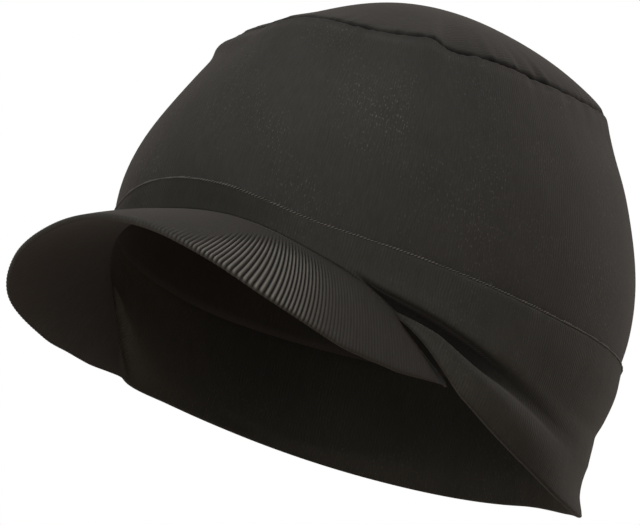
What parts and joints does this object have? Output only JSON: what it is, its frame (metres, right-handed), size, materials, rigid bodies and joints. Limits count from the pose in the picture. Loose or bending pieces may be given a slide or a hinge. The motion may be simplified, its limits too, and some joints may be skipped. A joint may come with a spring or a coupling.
{
  "type": "visored jersey skull cap",
  "caption": "Close-fitting dark jersey skull cap with a domed top panel, a folded side band with a tuck, and a short down-curved ribbed visor.",
  "frame": {"origin": "centre of the head opening, in the plane of the band's top edge, where the cap sits on the head", "axes": "+Z the wearer's up, -Y the way the wearer faces, +X the wearer's left; the cap itself is pitched back 21.6 degrees in this frame as it is worn"},
  "size_m": [0.1724, 0.2417, 0.1843],
  "materials": {
    "crown_jersey": "matte fine wale jersey, charcoal",
    "top_jersey": "matte fine wale jersey, charcoal",
    "band_rib": "matte folded rib jersey, dark charcoal",
    "visor_rib": "ribbed knit over a stiff visor, charcoal"
  },
  "bodies": {
    "root": {"crown_wall": "crown_jersey", "crown_top": "top_jersey", "band": "band_rib", "brim": "visor_rib"}
  },
  "joints": []
}
